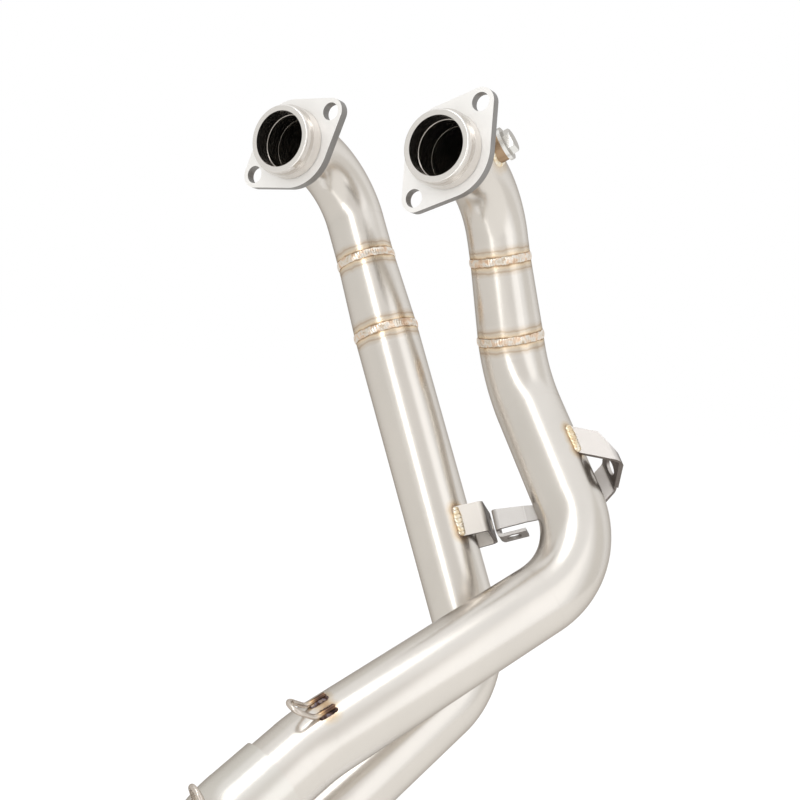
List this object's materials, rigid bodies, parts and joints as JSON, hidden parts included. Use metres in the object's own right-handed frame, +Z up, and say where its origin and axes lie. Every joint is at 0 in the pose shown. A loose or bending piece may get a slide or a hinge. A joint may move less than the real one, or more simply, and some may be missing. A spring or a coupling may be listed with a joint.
{
  "type": "motorcycle exhaust header",
  "caption": "Twin-port stainless exhaust header: bent pipes with loose head flanges, sensor boss, brackets and spring hooks, slipped into a merge collector.",
  "frame": {"origin": "centre of the left port's mouth, on the plane where it meets the cylinder head", "axes": "+X from the left port to the right port, +Y away from the cylinder head, +Z up"},
  "size_m": [0.262, 0.3103, 0.5206],
  "materials": {
    "collar_steel": "satin",
    "flange_steel": "bead blasted",
    "pipe_steel": "satin polished",
    "weld_bead": "rippled, straw tinted",
    "boss_steel": "heat browned",
    "plug_steel": "turned, bright",
    "bracket_steel": "satin",
    "hook_wire": "satin",
    "collector_steel": "satin"
  },
  "bodies": {
    "rest": {"left_port_collar": "collar_steel", "right_port_collar": "collar_steel", "left_head_bend": "pipe_steel", "right_head_bend": "pipe_steel", "left_expander": "pipe_steel", "right_expander": "pipe_steel", "left_main_pipe": "pipe_steel", "right_main_pipe": "pipe_steel", "left_pipe_welds": "weld_bead", "right_pipe_welds": "weld_bead", "port_seam_welds": "weld_bead", "sensor_boss": "boss_steel", "sensor_boss_weld": "weld_bead", "sensor_plug": "plug_steel", "left_bracket": "bracket_steel", "right_bracket": "bracket_steel", "tab_bracket": "bracket_steel", "bracket_welds": "weld_bead", "left_spring_hook": "hook_wire", "right_spring_hook": "hook_wire", "collector_spring_hooks": "hook_wire", "spring_hook_welds": "weld_bead", "collector": "collector_steel", "collector_outlet": "collector_steel", "collector_weld": "weld_bead"},
    "left_flange": {"left_flange": "flange_steel"},
    "right_flange": {"right_flange": "flange_steel"}
  },
  "joints": [
    {"name": "left_flange_swivel", "type": "hinge", "parent": "rest", "child": "left_flange", "pos_m": [0, 0.0134, 0], "axis": [0, 1, 0], "continuous": true},
    {"name": "right_flange_swivel", "type": "hinge", "parent": "rest", "child": "right_flange", "pos_m": [0.1123, 0.0134, 0], "axis": [0, 1, 0], "continuous": true}
  ]
}
